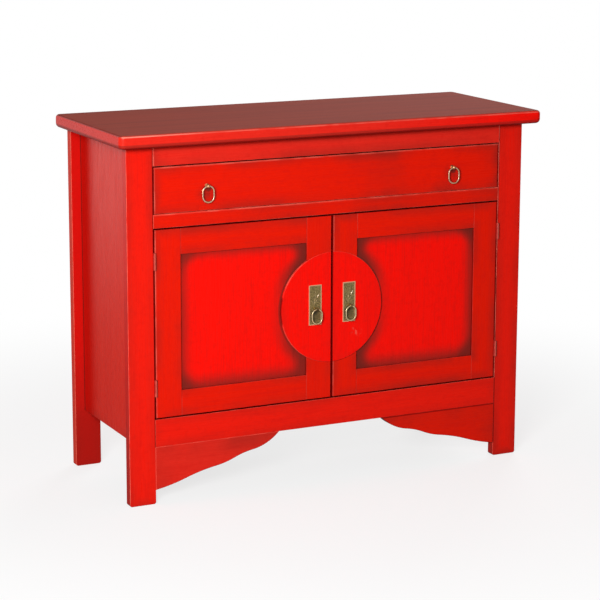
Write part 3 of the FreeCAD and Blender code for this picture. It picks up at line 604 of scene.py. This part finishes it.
        # Painted highlights in thin lines
        lines = [self.highlight_line(axis, end) for axis, end in look.highlight_lines]
        self.tint(self.graph.highest([self.worn_and_lit] + lines), WEAR_AND_HIGHLIGHT_PINK)
        if look.scuff:
            self.tint(self.rubbed_mark(look.scuff), WEAR_AND_HIGHLIGHT_PINK)

    def rubbed_mark(self, middle):
        """Small rubbed specks round one point of the front."""
        graph = self.graph
        reach, core = 18 * MM, 2 * MM
        near = graph.fade(from_point(graph, self.place, middle), reach, core)
        specks = graph.fade(graph.noise(self.seed, SPECK_SCALE), *SPECKS)
        return graph.product((near, specks))

    def roughness(self):
        """A gloss that is uneven along the fine grain."""
        return self.graph.fade(self.fine, *GLOSS)


# The slab's fades: from its face above down to its underside, at its ends, and by the streaks
LID = (0.70, 0.97)
ROUND_TOP = (0.80, 0.65)
ROUND_FOOT = (0.35, 0.50)
LOWER_HALF = (-0.02, -0.18, 0.5)
UNDERSIDE = (-0.5, -0.9, 0.9)
END_FACE = (0.15, 0.4)
END_LINE = (0.5, 0.8, 0.7)
NOT_THE_END = (0.7, 0.4)
LID_STREAKS = (0.35, 0.75)


class SlabLacquer(Lacquer):
    """The top: brown above, partly glaze and partly painted shade, red round its edge and redder towards the
    right, with wear and a painted highlight along the front edge.
    """

    def __init__(self, *details):
        super().__init__(*details)
        graph = self.graph
        upward = self.normal[Z]
        self.lid = graph.fade(upward, *LID)
        self.rounded = graph.product((graph.fade(upward, *ROUND_FOOT), graph.fade(upward, *ROUND_TOP)))

    def ground(self):
        """Red that goes over to a clearer red at the right."""
        graph = self.graph
        return graph.blend(graph.fade(self.place[X], 0.0, cad_box[HIGH].x), self.look.red, PANEL_RED)

    def lay_red(self):
        """Red round the edge, and streaked brown on the face above, partly glaze and partly painted shade."""
        super().lay_red()
        graph = self.graph
        brown = graph.blend(graph.fade(self.streaks, *LID_STREAKS), TOP_BROWN, TOP_STREAK)
        # Brown above: partly glaze, partly painted shade
        self.tint(self.lid, brown)

    def edge_wear_and_highlight(self):
        """Wear and painted highlight in patches along the rounded front and back edge."""
        return self.graph.product((self.rounded, self.scuffed, self.facing[Y]))

    def darken(self):
        """Painted shade in the lower half of the edge and underneath, and a brown line along the ends."""
        graph = self.graph
        # Painted shade on the lower half of the edge and on the underside
        self.tint(graph.fade(self.normal[Z], *LOWER_HALF), BROWN)
        self.tint(graph.fade(self.normal[Z], *UNDERSIDE), SHADE_RED)
        end_face = graph.fade(self.facing[X], *END_FACE)
        self.tint(graph.product((end_face, graph.fade(self.normal[Z], *END_LINE))), BROWN)

    def rub_and_highlight(self):
        """Lays on the wear and painted highlights, and a pale line of wear and painted highlight by the left
        front corner.
        """
        super().rub_and_highlight()
        graph = self.graph
        left_end = cad_box[LOW].x
        line_end, line_full = left_end + 240 * MM, left_end + 15 * MM
        by_corner = graph.fade(self.place[X], line_end, line_full, 0.6)
        # A pale line of wear and painted highlight by the corner
        corner_wear_and_highlight = graph.product((self.rounded, by_corner, graph.fade(self.facing[X], *NOT_THE_END)))
        self.tint(corner_wear_and_highlight, CHALK_PINK)

    def roughness(self):
        """Glossy round the edge and dull above."""
        dull = 0.9
        return self.graph.between(self.lid, super().roughness(), dull)


# Lacquered boards

def span(low, high, **limits):
    """A board's box with some of its limits moved."""
    corners = [list(low), list(high)]
    for key, value in limits.items():
        end, axis = key.split("_")
        corners[("low", "high").index(end)]["xyz".index(axis)] = value
    return corners


def leg_boards():
    """The four legs. The front ones have painted shade on their inner faces, and sharp inner edges, where
    rails and doors meet them.
    """
    bracket_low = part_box("right_apron_bracket")[LOW].z
    shaded_inner = {"left": (RAIL_LOW, TOP_UNDERSIDE), "right": (bracket_low, RAIL_HIGH)}
    # The back legs: a deeper red and a darker foot as painted shade, and a painted sheen on their sides
    back_look = Look(red=DEEP_RED, sheen=0.02, foot_shade=0.36, edge_strength=0.12, pale_side=True)
    for side in SIDES:
        # The front legs: painted shade on faces that look down and on their inner faces, and painted shade
        # with burnish low on their outer sides
        front_look = Look(shaded_inner=shaded_inner[side], shaded_under=0.7, dark_side=0.35)
        yield f"front_{side}_leg", "z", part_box(f"front_{side}_leg"), front_look
        yield f"back_{side}_leg", "z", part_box(f"back_{side}_leg"), back_look


def rail_boards():
    """The rails between the legs."""
    plain = Look(red=FRAME_RED, shaded_gaps=True, wear_and_highlight_at_rim=0.5, wear_and_highlight_within=0.2, edge_strength=0.5)
    worn_and_lit = replace(plain, wear_and_highlight_at_rim=1.0, wear_and_highlight_within=0.3)
    looks = {
        "top_front_rail": replace(plain, red=DULL_RED, highlight_lines=((X, LOW),)),
        "drawer_rail": replace(worn_and_lit, pale_top=True, highlight_lines=((Z, HIGH),)),
        "bottom_rail": replace(plain, red=RED, edge_strength=0.25),
        "back_bottom_rail": plain,
        "back_top_rail": plain,
    }
    for node, look in looks.items():
        yield node, "x", span(*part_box(node), low_x=-OPENING_HALF, high_x=OPENING_HALF), look


def side_boards(side):
    """The bracket and the panel of one side."""
    bracket_look = Look(
        red=DULL_RED,
        glaze=0.06,
        edge_strength=0.5,
        edge_reach=50 * MM,
        shaded_under=0.8,
        wear_and_highlight_at_rim=0.6,
    )
    if side == "right":
        bracket_look = replace(bracket_look, red=FRAME_RED, shade_lines=((Z, HIGH),), wear_and_highlight_at_rim=0.0)
    bracket = f"{side}_apron_bracket"
    yield bracket, "x", span(*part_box(bracket), low_z=FAR_BELOW, high_z=RAIL_LOW), bracket_look
    back_shade_between = (BACK_FACE - 130 * MM, BACK_FACE - 40 * MM)
    panel_look = Look(red=SIDE_RED, sheen=0.19, back_shade_between=back_shade_between)
    yield f"{side}_side_panel", "z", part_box(f"{side}_side_panel"), panel_look


def drawer_board():
    """The drawer's front, with painted shade and grime behind its rings, and spots of painted shadow under
    their eyes.
    """
    rings = [f"{side}_drawer_ring" for side in SIDES]
    spot_across, spot_down = 4 * MM, 9 * MM
    look = Look(
        red=FRAME_RED,
        edge_strength=0.6,
        clouded=0.25,
        # Painted shade and grime round the rings
        shade_and_grime=[middle_of(ring) for ring in rings],
        # Spots of painted shadow under the rings' eyes
        shadow_spots=[(middle_of(ring)[0] + spot_across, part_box(ring)[HIGH].z - spot_down) for ring in rings],
        shaded_gaps=True,
        shaded_rims=(X,),
        shade_lines=((X, HIGH),),
        wear_and_highlight_at_rim=0.9,
        highlight_lines=((X, LOW), (Z, HIGH)),
    )
    return "drawer_front", "x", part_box("drawer_front"), look


def door_boards(side):
    """The boards of one door. Its frame is burnished as one, and its panel by the shape of its opening."""
    stiles = [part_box(f"{side}_door_{which}_stile") for which in ("hinge", "meeting")]
    whole = [
        [pick(box[end][axis] for box in stiles) for axis in (X, Y, Z)]
        for end, pick in ((LOW, min), (HIGH, max))
    ]
    left_stile, right_stile = sorted(stiles, key=lambda box: box[LOW].x)
    front = whole[LOW][Y]
    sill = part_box(f"{side}_door_bottom_rail")[HIGH].z
    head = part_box(f"{side}_door_top_rail")[LOW].z
    opening = ((left_stile[HIGH].x, front, sill), (right_stile[LOW].x, front, head))
    frame_look = Look(
        red=FRAME_RED,
        edge_strength=0.62,
        opening=opening,
        shaded_gaps=True,
        shaded_rims=(X, Z),
        shade_lines=((X, HIGH),) if side == "right" else (),
        wear_and_highlight_at_rim=0.3,
        wear_and_highlight_within=0.2,
        highlight_lines=((X, LOW),),
    )
    grains = {"hinge_stile": "z", "meeting_stile": "z", "bottom_rail": "x", "top_rail": "x"}
    for part, grain in grains.items():
        yield f"{side}_door_{part}", grain, whole, frame_look

    half_moon = f"{side}_door_half_moon"
    moon_low, moon_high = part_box(half_moon)
    moon_look = Look(red=PANEL_RED, edge_strength=0.2, shaded_rims=(X,), wear_and_highlight_at_rim=0.3, wear_and_highlight_within=0.6)
    if side == "right":
        plate_low, plate_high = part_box("right_door_plate")
        beside, below = 5 * MM, 23 * MM
        moon_look = replace(moon_look, scuff=(plate_high.x + beside, plate_low.z - below))
    yield half_moon, "z", (moon_low, moon_high), moon_look
    _, moon_height = middle_of(half_moon)
    moon_radius = max(-moon_low.x, moon_high.x)
    panel_look = Look(red=PANEL_RED, panel=(opening, (moon_height, moon_radius)))
    yield f"{side}_door_panel", "z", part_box(f"{side}_door_panel"), panel_look


def lacquered_boards():
    """Every red board: its node, the axis of its grain, the box whose edges are burnished, and its look."""
    yield from leg_boards()
    yield from rail_boards()
    for side in SIDES:
        yield from side_boards(side)
    yield "back_panel", "x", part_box("back_panel"), Look()
    yield drawer_board()
    yield "top_panel", "x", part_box("top_panel"), Look(red=DULL_RED, edge_reach=9 * MM)
    for side in SIDES:
        yield from door_boards(side)


# A board's number moves its noise, so no two boards have the same grain
for number, (node, grain, board, look) in enumerate(lacquered_boards()):
    coat = SlabLacquer if node == "top_panel" else Lacquer
    coat(node, grain, board, number, look).apply()


# Stained wood inside

WOOD_SCALE = 70
WOOD_DETAIL = 5.0
WOOD_GRAIN = (0.35, 0.68)


def wood(name, grain):
    """Stained, unpolished wood."""
    material, graph, shader = new_material(name, Specular_IOR_Level=0.25)
    place = graph.add("TexCoord").outputs["Object"]
    streaks = graph.noise(place, WOOD_SCALE, GRAIN[grain], WOOD_DETAIL)
    colour = graph.blend(graph.fade(streaks, *WOOD_GRAIN), WOOD, WOOD_STREAK)
    graph.feed(shader.inputs["Base Color"], colour)
    graph.feed(shader.inputs["Roughness"], graph.fade(streaks, 0.0, 1.0, 0.95))
    graph.feed(shader.inputs["Normal"], graph.bump(streaks, strength=0.15, distance=0.3 * MM))
    return material


wood_across = wood("wood_across", "x")
wood_deep = wood("wood_deep", "y")
for node in ("cabinet_floor", "inner_shelf", "floor_cleats", "drawer_back", "drawer_bottom"):
    paint(node, wood_across)
for node in ("shelf_cleats", "top_cleats", "drawer_runners", "drawer_guides", "drawer_kickers"):
    paint(node, wood_deep)
for side in SIDES:
    paint(f"drawer_{side}_side", wood_deep)


# Brass

BRASS_SCALE = 160
PLATE_SCALE = 420
BRASS_DETAIL = 4.0
BRASS_PATCHES = (0.42, 0.68)
PLATE_PATCHES = (0.42, 0.62)
TURNED_ASIDE = (0.9, 0.55)
SIDE_SHEEN = (0.0, 1.0, 0.05, 0.5)
GLOSS_PATCHES = (0.3, 0.7)
SHINY_SPREAD = 0.12


def brass(name, bright, dark, roughness, metallic=0.85, sides=None):
    """Aged brass: rubbed metal with darker patina in patches, and painted shade on the sides if a colour is
    given.
    """
    material, graph, shader = new_material(name, Metallic=metallic)
    coordinates = graph.add("TexCoord").outputs
    patches = graph.noise(coordinates["Object"], BRASS_SCALE, detail=BRASS_DETAIL)
    colour = graph.blend(graph.fade(patches, *BRASS_PATCHES), bright, dark)
    if sides:
        level = graph.math("ABSOLUTE", graph.split(coordinates["Normal"])[Y])
        turned = graph.fade(level, *TURNED_ASIDE)
        # Painted shade on the sides that turn away from the front
        colour = graph.blend(turned, colour, sides)
        graph.feed(shader.inputs["Specular IOR Level"], graph.fade(turned, *SIDE_SHEEN))
    gloss = graph.fade(patches, *GLOSS_PATCHES, roughness, roughness - SHINY_SPREAD)
    graph.feed(shader.inputs["Base Color"], colour)
    graph.feed(shader.inputs["Roughness"], gloss)
    graph.feed(shader.inputs["Normal"], graph.bump(patches, strength=0.25, distance=0.3 * MM))
    return material


def plate_shade_and_grime(side):
    """The spots on a plate, grime and painted shade round the ring and a painted shadow under its eye: their
    middles, reach and strength.
    """
    ring = f"{side}_door_ring"
    across, _ = middle_of(ring)
    under_eye = (across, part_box(ring)[HIGH].z - 9 * MM)
    return (middle_of(ring), 20 * MM, 0.45), (under_eye, 9 * MM, 0.85)


def plate_brass(side):
    """Speckled bronze with grime and painted shade behind the ring, a painted shadow under its eye, and a
    rubbed rim.
    """
    plate = f"{side}_door_plate"
    rim_end, rim_full = 2.4 * MM, 1.6 * MM
    material, graph, shader = new_material(f"{side}_plate_brass", Metallic=0.35)
    coordinates = graph.add("TexCoord").outputs["Object"]
    place = graph.split(coordinates)
    patches = graph.noise(coordinates, PLATE_SCALE, detail=BRASS_DETAIL)
    colour = graph.blend(graph.fade(patches, *PLATE_PATCHES), BRONZE, PATINA)
    for middle, reach, strength in plate_shade_and_grime(side):
        # Grime and painted shade round the ring, a painted shadow under its eye
        spot = graph.fade(from_point(graph, place, middle), reach, reach / 4, strength)
        colour = graph.blend(spot, colour, GRIME_AND_SHADE)
    from_rim = graph.lowest(from_outline(graph, place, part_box(plate)))
    colour = graph.blend(graph.fade(from_rim, rim_end, rim_full, 0.9), colour, RIM_BRASS)
    graph.feed(shader.inputs["Base Color"], colour)
    graph.feed(shader.inputs["Roughness"], graph.fade(patches, *GLOSS_PATCHES, 0.55, 0.4))
    graph.feed(shader.inputs["Normal"], graph.bump(patches, strength=0.35, distance=0.4 * MM))
    paint(plate, material)


# The drawer rings' fronts carry a painted reflection, and all rings painted shade on their sides
drawer_ring_brass = brass("ring_brass", RED_REFLECTING_BRASS, BRASS, 0.42, 0.6, BROWN)
door_ring_brass = brass("pale_ring_brass", RING_BRASS, BRASS, 0.42, 0.5, GRIME_AND_SHADE)
post_brass = brass("post_brass", BRASS, PATINA, 0.6)
dark_brass = brass("dark_brass", BRONZE, PATINA, 0.6)
for side in SIDES:
    plate_brass(side)
    paint(f"{side}_door_ring", door_ring_brass)
    paint(f"{side}_drawer_ring", drawer_ring_brass)
    paint(f"{side}_door_ring_post", dark_brass)
    paint(f"{side}_door_post_nut", dark_brass)
paint("drawer_ring_posts", post_brass)
paint("drawer_post_nuts", post_brass)


# Hinges and catches

HINGE_SCALE = 160
BRUSHED_SCALE = 300
PEBBLE_SCALE = 900
BARE_PATCHES = (0.56, 0.70)
FRONT_HIGHLIGHT = (-0.75, -0.95, 0.7)


def painted_hinge():
    """Steel that was painted with the doors, rubbed bare in places, with a painted highlight along its front.
    """
    material, graph, shader = new_material("painted_hinge")
    coordinates = graph.add("TexCoord").outputs
    patches = graph.fade(graph.noise(coordinates["Object"], HINGE_SCALE), *BARE_PATCHES)
    # A painted highlight along the front of the knuckles
    lit_front = graph.fade(graph.split(coordinates["Normal"])[Y], *FRONT_HIGHLIGHT)
    bare_and_lit = graph.highest((patches, lit_front))
    graph.feed(shader.inputs["Base Color"], graph.blend(bare_and_lit, HINGE_RED, WEAR_AND_HIGHLIGHT_PINK))
    graph.feed(shader.inputs["Metallic"], graph.product((bare_and_lit, 0.5)))
    graph.feed(shader.inputs["Roughness"], graph.fade(bare_and_lit, 1.5, -0.5, 0.5))
    return material


def steel():
    """Plain brushed steel."""
    material, graph, shader = new_material("plain_steel", Metallic=1.0, Base_Color=STEEL)
    brushed = graph.noise(graph.add("TexCoord").outputs["Object"], BRUSHED_SCALE, GRAIN["z"])
    graph.feed(shader.inputs["Roughness"], graph.fade(brushed, -0.5, 1.2, 0.6))
    return material


def plastic():
    """Brown moulded plastic."""
    material, graph, shader = new_material("brown_plastic", Base_Color=PLASTIC, Roughness=0.5)
    pebbles = graph.noise(graph.add("TexCoord").outputs["Object"], PEBBLE_SCALE)
    graph.feed(shader.inputs["Normal"], graph.bump(pebbles, strength=0.2, distance=0.2 * MM))
    return material


hinge_paint = painted_hinge()
bare_steel = steel()
for node in ("leg_hinge_leaves", "hinge_pins", "left_door_hinge_leaves", "right_door_hinge_leaves"):
    paint(node, hinge_paint)
for side in SIDES:
    paint(f"{side}_door_catch_strike", bare_steel)
paint("door_catches", plastic())


# Chased sprig on the plates

LEAVES = (
    # across and up from the eye, length and width in millimetres, lean in degrees, with a painted highlight
    (-1.0, 20.0, 26.0, 1.2, 8.0, False),
    (-5.0, 14.0, 8.0, 2.2, -38.0, False),
    (3.5, 17.0, 8.0, 2.2, 42.0, False),
    (-4.5, 23.0, 7.5, 2.0, -40.0, False),
    (7.0, 28.0, 11.0, 1.8, 28.0, True),
    (0.5, 36.0, 7.0, 2.0, 8.0, False),
)
FIELD_DEPTH = 0.6 * MM
LEAF_RELIEF = 0.35 * MM

sprig_brass = brass("sprig_brass", WORN_BRONZE, BRONZE, 0.5)
highlight_leaf_brass = brass("highlight_leaf_brass", HIGHLIGHT_BRASS, BRASS, 0.4, 0.4)


def make_sprig(side):
    """Low leaves raised on the field of a door's plate, some with a painted highlight."""
    across_middle, _ = middle_of(f"{side}_door_plate")
    _, eye_height = middle_of(f"{side}_door_ring_post")
    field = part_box(f"{side}_door_plate")[LOW].y + FIELD_DEPTH
    build = bmesh.new()
    for across, up, length, width, lean, bright in LEAVES:
        place = Matrix.Translation((across_middle + across * MM, field, eye_height + up * MM))
        turn = Matrix.Rotation(math.radians(lean), 4, "Y")
        shape = Matrix.Diagonal((width * MM / 2, LEAF_RELIEF, length * MM / 2, 1))
        where = place @ turn @ shape
        leaf = bmesh.ops.create_uvsphere(build, u_segments=16, v_segments=12, radius=1, matrix=where)
        for face in {face for vertex in leaf["verts"] for face in vertex.link_faces}:
            # One leaf with a painted highlight
            face.material_index = int(bright)
    mesh = bpy.data.meshes.new(f"{side}_plate_sprig")
    build.to_mesh(mesh)
    build.free()
    mesh.shade_smooth()
    mesh.materials.append(sprig_brass)
    mesh.materials.append(highlight_leaf_brass)
    sprig = bpy.data.objects.new(f"{side}_plate_sprig", mesh)
    bpy.context.scene.collection.objects.link(sprig)
    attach(sprig, f"{side}_door")


for side in SIDES:
    make_sprig(side)


# Studio

AMBIENT = 0.21
FLOOR_GREY = (0.3, 0.3, 0.3, 1)
FLOOR_HALF = 15.0

# How white the floor is in the shadow, and how far from the middle the shadow begins to fade and ends
SHADOW_WHITE = 0.75
SHADOW_FADE = (0.6, 1.7)

# Where the floor turns white in reflections, from the middle outwards and from front to back
BACKDROP_OUTWARDS = (0.8, 5.0)
BACKDROP_BEHIND = (-0.4, 0.6)

# How bright the world is in reflections, from in front to behind
MIRRORED = (-0.5, 0.3, 1.0, 0.08)


def floor_surface(graph):
    """White for the camera apart from the shadow, white behind the part in reflections, otherwise grey."""
    rays = graph.add("LightPath").outputs
    place = graph.add("TexCoord").outputs["Object"]
    distance = graph.add("VectorMath", {0: place}, operation="LENGTH").outputs["Value"]
    grey = graph.add("BsdfDiffuse", {"Color": FLOOR_GREY}).outputs[0]
    pale = graph.add("BsdfDiffuse", {"Color": WHITE}).outputs[0]
    white = graph.add("Emission", {"Color": WHITE}).outputs[0]
    shiny = graph.highest((rays["Is Glossy Ray"], rays["Is Transmission Ray"]))
    behind = graph.fade(graph.split(place)[Y], *BACKDROP_BEHIND)
    backdrop = graph.product((shiny, behind, graph.fade(distance, *BACKDROP_OUTWARDS)))
    lit_floor = graph.add("MixShader", {0: backdrop, 1: grey, 2: white}).outputs[0]
    whiteness = graph.fade(distance, *SHADOW_FADE, 1.0, SHADOW_WHITE)
    seen_floor = graph.add("MixShader", {0: whiteness, 1: pale, 2: white}).outputs[0]
    return graph.add("MixShader", {0: rays["Is Camera Ray"], 1: lit_floor, 2: seen_floor}).outputs[0]


def make_floor():
    """A plain pale floor."""
    mesh = bpy.data.meshes.new("floor")
    corners = [(x * FLOOR_HALF, y * FLOOR_HALF, 0) for x, y in ((-1, -1), (1, -1), (1, 1), (-1, 1))]
    mesh.from_pydata(corners, [], [(0, 1, 2, 3)])
    floor = bpy.data.objects.new("floor", mesh)
    bpy.context.scene.collection.objects.link(floor)
    material = bpy.data.materials.new("floor")
    material.use_nodes = True
    graph = Graph(material.node_tree)
    graph.tree.nodes.clear()
    graph.add("OutputMaterial", {"Surface": floor_surface(graph)})
    mesh.materials.append(material)
    floor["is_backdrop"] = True


def make_world():
    """White for the camera and in reflections, dimmer in front, and an even soft light for the rest."""
    world = bpy.data.worlds.new("studio")
    bpy.context.scene.world = world
    world.use_nodes = True
    graph = Graph(world.node_tree)
    graph.tree.nodes.clear()
    rays = graph.add("LightPath").outputs
    front_to_back = graph.split(graph.add("TexCoord").outputs["Generated"])[Y]
    mirrored = graph.fade(front_to_back, *MIRRORED)
    shiny = graph.highest((rays["Is Glossy Ray"], rays["Is Transmission Ray"]))
    level = graph.between(rays["Is Camera Ray"], graph.between(shiny, AMBIENT, mirrored), 1.0)
    background = graph.add("Background", {"Color": WHITE, "Strength": level}).outputs[0]
    graph.add("OutputWorld", {"Surface": background})


def make_lamp(name, place, target, size, power):
    """A soft square lamp that looks at a point."""
    lamp = bpy.data.lights.new(name, "AREA")
    lamp.size = size
    lamp.energy = power
    item = bpy.data.objects.new(name, lamp)
    item.location = place
    item.rotation_euler = (Vector(target) - Vector(place)).to_track_quat("-Z", "Y").to_euler()
    bpy.context.scene.collection.objects.link(item)


MIDDLE = (0, 0, 0.42)
make_floor()
make_world()
make_lamp("key", (-2.0, -2.65, 1.35), MIDDLE, size=1.0, power=110)
make_lamp("back", (2.4, 2.9, 2.2), MIDDLE, size=1.6, power=60)


# Camera, solved from the photograph's corners

IMAGE_SIDE = 600
FOCAL_PIXELS = 2089
AXIS_ROW = 252
SENSOR_WIDTH = 36
CAMERA_PLACE = (-2.0023, -4.0972, 1.3805)
YAW = math.radians(26.046)
PITCH = math.radians(11.162)
ROLL = math.radians(0.173)


def make_camera():
    """The camera at the photograph's angle."""
    data = bpy.data.cameras.new("camera")
    data.sensor_width = SENSOR_WIDTH
    data.lens = FOCAL_PIXELS / IMAGE_SIDE * SENSOR_WIDTH
    data.shift_y = (AXIS_ROW - IMAGE_SIDE / 2) / IMAGE_SIDE
    camera = bpy.data.objects.new("camera", data)
    upright = Matrix.Rotation(-YAW, 3, "Z") @ Matrix.Rotation(math.pi / 2 - PITCH, 3, "X")
    camera.rotation_euler = (upright @ Matrix.Rotation(ROLL, 3, "Z")).to_euler()
    camera.location = CAMERA_PLACE
    bpy.context.scene.collection.objects.link(camera)
    bpy.context.scene.camera = camera


make_camera()
bpy.context.scene.view_settings.view_transform = "Standard"

boxes = {"cad": cad_box, "visual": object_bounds()}
{name: [list(corner) for corner in box] for name, box in boxes.items()}
